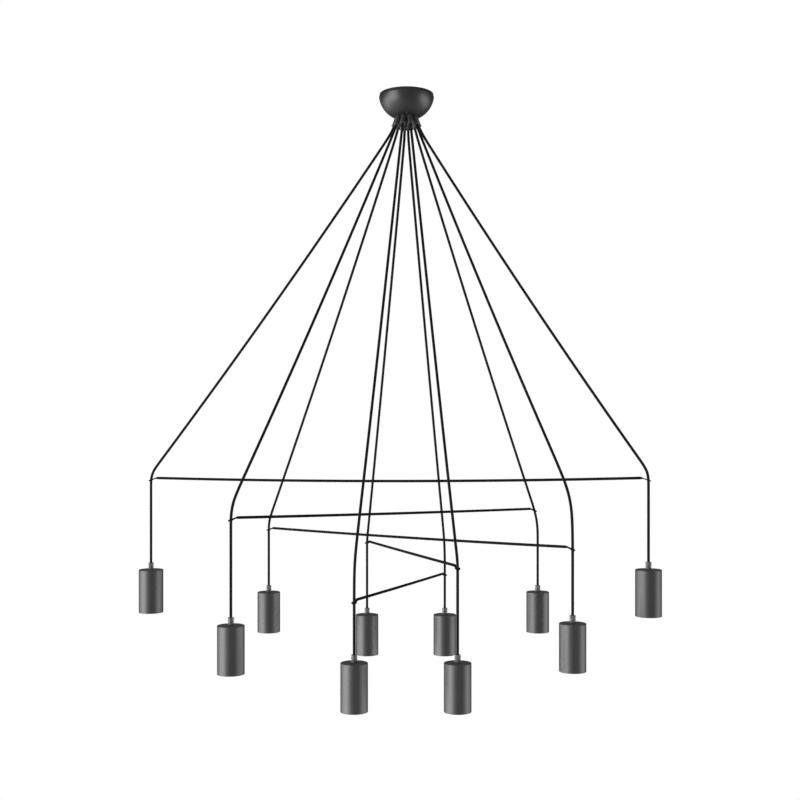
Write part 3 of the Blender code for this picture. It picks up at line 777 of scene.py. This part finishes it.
def dome_profile():
    """From the seam up the outer side to the ceiling, and back down the inner side."""
    band_radius = DOME_RADIUS * math.sqrt(1 - (DOME_BAND_HEIGHT / DOME_HEIGHT) ** 2)
    outer = dome_run(PLATE_RADIUS, band_radius, 0, OUTER_STEPS)
    rim = ((DOME_RIM_RADIUS, 0), (DOME_RIM_RADIUS - DOME_WALL, 0))
    inner = dome_run(band_radius, PLATE_RADIUS, DOME_WALL, INNER_STEPS)
    corners = np.concatenate((outer, rim, inner))
    radii = np.zeros(len(corners))
    rim_start = len(outer) - 1
    radii[rim_start:rim_start + 3] = 0.0004, 0.0003, 0.0003
    return rounded(corners, radii, 4)


def plate_profile():
    """The underside with its flat land, the boss inside, and the upper side."""
    land = dome_point(PLATE_LAND_RADIUS)[1]
    boss_top = land + PLATE_WALL + PLATE_BOSS_HEIGHT
    hole = SCREW_RADIUS + SEAM_GAP
    under = dome_run(PLATE_LAND_RADIUS, PLATE_RADIUS - SEAM_GAP, 0, PLATE_STEPS)
    upper = dome_run(PLATE_RADIUS - SEAM_GAP, PLATE_BOSS_RADIUS, PLATE_WALL, PLATE_STEPS)
    boss = ((PLATE_BOSS_RADIUS, boss_top), (hole, boss_top), (hole, land))
    corners = np.concatenate((under, upper, boss))
    radii = np.zeros(len(corners))
    radii[-len(boss):] = 0.0004
    return rounded(corners, radii, 4)


dome = dome_profile()
make_piece("dome", turned(dome, CANOPY_SIDES), CANOPY_BLACK, "frame",
           ["canopy_dome"])
print("dome", round(2 * float(dome[:, 0].max()), 4), "m across where widest")

# %% [markdown]
# A spout is a little tube with a thicker rounded lip. It is square to its own axis, not to the
# dome, so each one is turned about an upright axis first, then leaned out and set in its place.
# Its root spreads slightly, as a cast or moulded one would.

# %% Make the spouts
SPOUT_RADIUS = 0.0046
SPOUT_BORE = 0.0028
SPOUT_ROOT = 0.0028
SPOUT_LIP_RADIUS = 0.0054
SPOUT_LIP_HEIGHT = 0.0026
SPOUT_SPREAD = 0.0006
SPOUT_SPREAD_END = 0.0025
SPOUT_SIDES = 48


def spout_shape():
    """A turned tube: its height runs out along the spout, from the root to the lip."""
    corners = (
        (SPOUT_BORE, -SPOUT_ROOT),
        (SPOUT_RADIUS + SPOUT_SPREAD, -SPOUT_ROOT),
        (SPOUT_RADIUS, SPOUT_SPREAD_END),
        (SPOUT_RADIUS, SPOUT_LENGTH - SPOUT_LIP_HEIGHT),
        (SPOUT_LIP_RADIUS, SPOUT_LENGTH - SPOUT_LIP_HEIGHT * 0.7),
        (SPOUT_LIP_RADIUS, SPOUT_LENGTH),
        (SPOUT_BORE, SPOUT_LENGTH),
    )
    radii = (0, 0, 0.004, 0.0006, 0.0006, 0.001, 0.0005)
    return turned(rounded(corners, radii, 6), SPOUT_SIDES)


def leaned(shape, label):
    """A shape on the Z axis set on the dome at a cord's spout, its Z out along the spout.

    Each half of the twin spout stops at the plane between them.
    """
    points, faces = shape
    aside = TWIN_ASIDE.get(label)
    if aside:
        points[:, 1] = np.sign(aside) * np.maximum(np.sign(aside) * points[:, 1], -abs(aside))
    root, out = spout_place(label)
    side = unit(np.cross(UP, out))
    return points @ np.stack((np.cross(side, out), side, out)) + root, faces


make_piece("plate", turned(plate_profile(), CANOPY_SIDES), CANOPY_BLACK, "frame",
           ["cord_plate"])
spouts = joined([leaned(spout_shape(), label) for label in LABELS])
make_piece("spouts", spouts, SPOUT_BLACK, "frame")
print("spouts", len(LABELS), "each", SPOUT_LENGTH, "m long")

# %% [markdown]
# The screw has a thick round head with a soft edge, made to be turned by hand. It reaches from the
# lowest to the highest point of the CAD model's screw.

# %% Make the screw
SCREW_HEAD_RADIUS = 0.0072
SCREW_HEAD_HEIGHT = 0.006
SCREW_SIDES = 96


def screw_shape():
    """A turned screw, from the middle of its underside up to its tip."""
    low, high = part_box("centre_screw")
    top, bottom = high[2], low[2]
    neck = bottom + SCREW_HEAD_HEIGHT
    corners = ((0, bottom), (SCREW_HEAD_RADIUS, bottom), (SCREW_HEAD_RADIUS, neck),
               (SCREW_RADIUS, neck), (SCREW_RADIUS, top), (0, top))
    profile = rounded(corners, (0, 0.0014, 0.0003, 0, 0.0003, 0), 8)
    return turned(profile, SCREW_SIDES, closed=False)


make_piece("screw", screw_shape(), CANOPY_BLACK, "frame", ["centre_screw"])
print("screw head", 2 * SCREW_HEAD_RADIUS, "m across")

# %% [markdown]
# ## The lamp holders
#
# Each holder is a plain metal cover over an E27 socket, closed at the top but for the hole through
# which the cord grip passes. The cover is sheet metal about a millimetre thick with a dark satin
# finish. Seen from the side it shows one broad bright band and one weaker band, the reflections of
# two large soft lights. Its top edge is rounded, and its bottom edge is turned and slightly broken.

# %% Dark satin metal
def dark_metal():
    """Satin metal: grain 0.35 mm apart, faint rings round the cover, and slow patches in the gloss.

    A painted sheen lightens the flat top where the surface faces up. Sheen = 2 x normal's Z - 1.
    """
    paint = Paint("sleeve_grey", {"Metallic": 1.0, "Specular Tint": (0.3, 0.3, 0.3, 1)})
    grain = paint.noise(2800, 3.0, 0.6)
    patches = paint.noise(45, 3.0)
    rings = paint.noise(1, 2.0, vector=paint.stretched(4, 900))
    normal = paint.add("ShaderNodeNewGeometry", out="Normal")
    upwards = paint.add("ShaderNodeSeparateXYZ", None, {"Vector": normal}, out="Z")
    # painted sheen: the up-facing top is lightened in the colour, as a reflection of the lights
    # would, and made a little rougher
    painted_top_sheen = paint.add("ShaderNodeClamp", None, {"Value": upwards * 2 - 1})
    blend = patches * 0.15 + grain * 0.07 + painted_top_sheen * 0.78
    paint.feed({
        "Base Color": paint.mixed(blend, (0.034, 0.034, 0.035), (0.085, 0.085, 0.086)),
        "Roughness": 0.42 + patches * 0.06 + rings * 0.05 + painted_top_sheen * 0.1,
    })
    paint.bump(grain * 0.7 + rings * 0.3, 0.00002)
    return paint.material


SLEEVE_GREY = dark_metal()
print("cover finish", SLEEVE_GREY.name)

# %% Make the covers
GRIP_HEIGHT = 0.013
GRIP_SHANK_RADIUS = 0.0045
TOUCH_GAP = 0.0003
SLEEVE_TOP = -GRIP_TOP_DEPTH - GRIP_HEIGHT - TOUCH_GAP
SLEEVE_RADIUS = 0.02336  # the circle that lies inside the 24 flats of the CAD sleeve
SLEEVE_HEIGHT = 0.083
SLEEVE_WALL = 0.0012
SLEEVE_ROOF = 0.0015
SLEEVE_SIDES = 128


def sleeve_shape():
    """A cup upside down, from the hole round the outer side and back inside.

    Its heights are taken from the tilt pivot.
    """
    bottom = SLEEVE_TOP - SLEEVE_HEIGHT
    inner = SLEEVE_RADIUS - SLEEVE_WALL
    hole = GRIP_SHANK_RADIUS + TOUCH_GAP
    roof = SLEEVE_TOP - SLEEVE_ROOF
    corners = ((hole, roof), (hole, SLEEVE_TOP), (SLEEVE_RADIUS, SLEEVE_TOP),
               (SLEEVE_RADIUS, bottom), (inner, bottom), (inner, roof))
    radii = (0.0004, 0.0002, 0.0014, 0.0004, 0.0004, 0.0006)
    return turned(rounded(corners, radii, 8)[::-1], SLEEVE_SIDES)


lamp_places = {label: np.array(joints[f"lamp_{label}_tilt"]["pos_m"]) for label in LABELS}
for label, place in lamp_places.items():
    make_piece(f"cover_{label}", moved(sleeve_shape(), place), SLEEVE_GREY, f"lamp_{label}",
               [f"lamp_sleeve_{label}"])
print("covers", 2 * SLEEVE_RADIUS, "m across and", SLEEVE_HEIGHT, "m high")

# %% [markdown]
# ## The cord grips
#
# A small smoky plastic bush stands on each cover and keeps the weight of the holder off the wires.
# Light passes into it, so the black cord shows through its middle, and its surface is slightly
# frosted. It is a little wider at the top than at the base.

# %% Make the cord grips
def smoky_plastic():
    """Frosted see-through plastic: cloudy streaks 2 mm apart, fine bump."""
    paint = Paint("grip_grey", {"IOR": 1.2, "Transmission Weight": 0.4, "Specular IOR Level": 0.15})
    cloud = paint.noise(500, 3.0)
    fine = paint.noise(3500, 2.0)
    paint.feed({
        "Base Color": paint.mixed(cloud, (0.06, 0.06, 0.06), (0.20, 0.20, 0.20)),
        "Roughness": 0.16 + cloud * 0.12,
    })
    paint.bump(fine * 0.5 + cloud * 0.5, 0.00003)
    return paint.material


GRIP_GREY = smoky_plastic()
GRIP_TOP_RADIUS = 0.0057
GRIP_BASE_RADIUS = 0.0054
GRIP_SHANK_LENGTH = 0.008
CORD_CLEARANCE = 0.0001
GRIP_SIDES = 64


def grip_shape():
    """A turned bush with a round shoulder, and below it the shank that enters the cover."""
    top = -GRIP_TOP_DEPTH
    base = top - GRIP_HEIGHT
    bore = CORD_RADIUS + CORD_CLEARANCE
    shank_end = base - GRIP_SHANK_LENGTH
    corners = ((bore, shank_end), (GRIP_SHANK_RADIUS, shank_end), (GRIP_SHANK_RADIUS, base),
               (GRIP_BASE_RADIUS, base), (GRIP_TOP_RADIUS, top), (bore, top))
    radii = (0.0003, 0.0004, 0, 0.0003, 0.0009, 0.0003)
    return turned(rounded(corners, radii, 6), GRIP_SIDES)


for label, place in lamp_places.items():
    make_piece(f"grip_{label}", moved(grip_shape(), place), GRIP_GREY, f"lamp_{label}",
               [f"cord_grip_{label}"])
print("grips", GRIP_HEIGHT, "m high")

# %% [markdown]
# ## Inside the holders
#
# From below each cover shows its socket: a black moulded ring, a brass shell with the knuckle
# thread that an E27 bulb turns into, and a spring contact on the floor. The thread's pitch is
# 3.6 mm. The shell is a grid round the axis whose radius is a wave of height less turn, which is
# what a screw thread is.

# %% Moulded black and brass
def moulded_black():
    """Moulded black plastic: a fine spark-eroded grain and a slow change of gloss."""
    paint = Paint("socket_black", {"Specular IOR Level": 0.4})
    grain = paint.noise(2500, 2.0)
    flow = paint.noise(90, 2.0)
    paint.feed({
        "Base Color": paint.mixed(flow, (0.014, 0.014, 0.014), (0.026, 0.026, 0.026)),
        "Roughness": 0.4 + flow * 0.14,
    })
    paint.bump(grain, 0.00003)
    return paint.material


def stamped_metal(name, dull, bright, base_roughness):
    """Bare stamped metal: cloudy tarnish in colour and gloss, fine die marks in the bump."""
    paint = Paint(name, {"Metallic": 1.0})
    tarnish = paint.noise(160, 4.0)
    marks = paint.noise(1800, 2.0)
    paint.feed({
        "Base Color": paint.mixed(tarnish, dull, bright),
        "Roughness": base_roughness + tarnish * 0.18,
    })
    paint.bump(marks, 0.00002)
    return paint.material


SOCKET_BLACK = moulded_black()
BRASS = stamped_metal("shell_brass", (0.60, 0.40, 0.17), (0.80, 0.60, 0.30), 0.24)
print("socket finishes", SOCKET_BLACK.name, BRASS.name)

# %% Make the sockets, thread shells and contacts
SOCKET_RADIUS = 0.020
SOCKET_BOSS_RADIUS = 0.009
SOCKET_BOSS_HEIGHT = 0.008
SOCKET_INSET = 0.006
SOCKET_MOUTH_RADIUS = 0.0138
SOCKET_MOUTH_DEPTH = 0.028
SOCKET_SIDES = 80
THREAD_PITCH = 0.0036
THREAD_WAVE = 0.00055
SHELL_RADIUS = 0.0130
SHELL_THICKNESS = 0.0004
SHELL_HEIGHT = 0.0235
SHELL_INSET = 0.0012
SHELL_SIDES = 72
SHELL_ROWS = 90
THREAD_RUN_IN = 0.003
THREAD_RUN_OUT = 0.0025
RECESS_SKIN = 0.0010
CONTACT_SIDES = 48
# radius, and height above the socket's floor, of the contact's corners, and how round each is
CONTACT_OUTLINE = ((0, -0.0042), (0.0022, -0.0040), (0.0040, -0.0012), (0.0062, -0.0008),
                   (0.0062, 0.0004), (0, 0.0004))
CONTACT_ROUNDING = (0, 0.0014, 0.0012, 0.0002, 0, 0)


def socket_shape():
    """The moulded body: its mouth opens downwards, and its boss on top holds the grip's shank."""
    top = SLEEVE_TOP - SLEEVE_ROOF - TOUCH_GAP
    shoulder = top - SOCKET_BOSS_HEIGHT
    bottom = SLEEVE_TOP - SLEEVE_HEIGHT + SOCKET_INSET
    floor = bottom + SOCKET_MOUTH_DEPTH
    recess = GRIP_SHANK_RADIUS + TOUCH_GAP
    recess_floor = shoulder + RECESS_SKIN
    corners = (
        (0, floor), (SOCKET_MOUTH_RADIUS, floor), (SOCKET_MOUTH_RADIUS, bottom),
        (SOCKET_RADIUS, bottom), (SOCKET_RADIUS, shoulder), (SOCKET_BOSS_RADIUS, shoulder),
        (SOCKET_BOSS_RADIUS, top), (recess, top), (recess, recess_floor), (0, recess_floor),
    )
    radii = (0, 0.0006, 0.0008, 0.001, 0.001, 0.0006, 0.0005, 0.0003, 0.0003, 0)
    return turned(rounded(corners, radii, 5), SOCKET_SIDES, closed=False)


def thread_shell():
    """Radius = shell + wave x cos(2 pi height / pitch - angle), on an outer and an inner wall."""
    bottom = SLEEVE_TOP - SLEEVE_HEIGHT + SOCKET_INSET + SHELL_INSET
    height = np.linspace(0, SHELL_HEIGHT, SHELL_ROWS)[:, None]
    angle = np.linspace(0, 2 * math.pi, SHELL_SIDES, endpoint=False)[None, :]
    fade_out = smooth_share(height, SHELL_HEIGHT - THREAD_RUN_OUT, SHELL_HEIGHT)
    fade = smooth_share(height, 0, THREAD_RUN_IN) * (1 - fade_out)
    radius = SHELL_RADIUS + THREAD_WAVE * fade * np.cos(2 * math.pi * height / THREAD_PITCH - angle)
    radius = np.concatenate((radius + SHELL_THICKNESS / 2, radius[::-1] - SHELL_THICKNESS / 2))
    height = np.concatenate((height, height[::-1])) + 0 * radius
    x, y = radius * np.cos(angle), radius * np.sin(angle)
    points = np.stack((x, y, bottom + height), axis=-1).reshape(-1, 3)
    return points, [grid_quads(len(radius), SHELL_SIDES, True)]


def contact_shape():
    """A low brass dome on the socket's floor."""
    floor = SLEEVE_TOP - SLEEVE_HEIGHT + SOCKET_INSET + SOCKET_MOUTH_DEPTH
    corners = np.array(CONTACT_OUTLINE) + (0, floor)
    return turned(rounded(corners, CONTACT_ROUNDING, 5), CONTACT_SIDES, closed=False)


for label, place in lamp_places.items():
    make_piece(f"socket_{label}", moved(socket_shape(), place), SOCKET_BLACK, f"lamp_{label}",
               [f"lamp_socket_{label}"])
    brass = joined([thread_shell(), contact_shape()])
    make_piece(f"thread_{label}", moved(brass, place), BRASS, f"lamp_{label}")
print("thread pitch", THREAD_PITCH, "m")

# %% [markdown]
# ## Inside the canopy
#
# The bracket and the terminal block are hidden from below and show only from above, where the real
# lamp meets the ceiling. They keep the shape of their CAD nodes and get the finish that such parts
# have: zinc plating with a faint cloudy pattern, and a milky moulded block.

# %% Finish the bracket and the block
ZINC = stamped_metal("bracket_steel", (0.42, 0.43, 0.44), (0.62, 0.63, 0.64), 0.28)


def moulded_white():
    """Milky moulded plastic with faint flow marks."""
    paint = Paint("block_white", {"Specular IOR Level": 0.45})
    flow = paint.noise(120, 2.0)
    grain = paint.noise(2400, 2.0)
    paint.feed({
        "Base Color": paint.mixed(flow, (0.66, 0.66, 0.63), (0.74, 0.74, 0.72)),
        "Roughness": 0.42 + flow * 0.1,
    })
    paint.bump(grain, 0.00003)
    return paint.material


for node, material in (("ceiling_bracket", ZINC), ("terminal_block", moulded_white())):
    mesh = frame["nodes"][node].data
    mesh.materials.clear()
    mesh.materials.append(material)
print("finished the bracket and the block")

# %% [markdown]
# ## Light, background and floor
#
# The photo was lit by large soft lights at the sides, which draw the bands on the covers, in front
# of a pure white ground. The bands lie at the same place on all ten covers, so the lights stand far
# away. A world that is white for the camera, for glossy rays and for rays through the grips gives
# that ground, and a dimmer one for all else keeps it from washing out the shadows. The floor lies
# well below the lamp, as it would in a high room, and ends in front of the lights.

# %% Set the lights and the world
# name, degrees to the right of the camera, distance, height of the middle, width, height, radiance
LIGHTS = (
    ("key_left", -57, 5.2, -1.30, 3.0, 4.4, 12.0),
    ("key_side", -108, 5.2, -2.10, 8.0, 2.8, 11.5),
    ("fill_right", 100, 5.2, -2.10, 8.0, 2.8, 8.2),
)
for name, azimuth, distance, middle, width, height, radiance in LIGHTS:
    side = math.radians(azimuth)
    data = bpy.data.lights.new(name, "AREA")
    data.shape = "RECTANGLE"
    data.size, data.size_y = width, height
    data.energy = radiance * math.pi * width * height
    light = bpy.data.objects.new(name, data)
    light.location = (math.sin(side) * distance, -math.cos(side) * distance, middle)
    light.rotation_euler = (math.radians(90), 0, side)
    bpy.context.scene.collection.objects.link(light)

AMBIENT = 0.35
world = bpy.data.worlds.new("white_studio")
bpy.context.scene.world = world
world.use_nodes = True
sky = Graph(world.node_tree, "Background")
camera_ray, glossy_ray, through_ray = (
    sky.add("ShaderNodeLightPath", out=f"Is {kind} Ray")
    for kind in ("Camera", "Glossy", "Transmission"))
# a ray can be of two kinds at once, and the Map Range node then holds the sum at 1
seen = camera_ray + glossy_ray + through_ray
level = sky.add("ShaderNodeMapRange", None, {"Value": seen, "To Min": AMBIENT, "To Max": 1})
sky.feed({"Color": (1, 1, 1, 1), "Strength": level})
bpy.context.scene.view_settings.view_transform = "Standard"
print("lights", [row[0] for row in LIGHTS], "ambient", AMBIENT)

# %% Make the floor
FLOOR_HEIGHT = -3.5
FLOOR_RADIUS = 4.8
FLOOR_THICKNESS = 0.02
FLOOR_EDGE = 0.005
FLOOR_SIDES = 128


def pale_floor():
    """Pale seamless floor with a faint mottle."""
    paint = Paint("floor_pale", {"Specular IOR Level": 0.2})
    mottle = paint.noise(3, 3.0)
    paint.feed({
        "Base Color": paint.mixed(mottle, (0.84, 0.84, 0.84), (0.88, 0.88, 0.88)),
        "Roughness": 0.7 + mottle * 0.1,
    })
    return paint.material


floor_corners = ((0, -FLOOR_THICKNESS), (FLOOR_RADIUS, -FLOOR_THICKNESS), (FLOOR_RADIUS, 0), (0, 0))
floor_profile = rounded(floor_corners, (0, FLOOR_EDGE, FLOOR_EDGE, 0), 3)
floor_disc = moved(turned(floor_profile, FLOOR_SIDES, closed=False), (0, 0, FLOOR_HEIGHT))
floor = make_piece("floor", floor_disc, pale_floor())
print("floor", 2 * FLOOR_RADIUS, "m across at a height of", FLOOR_HEIGHT, "m")
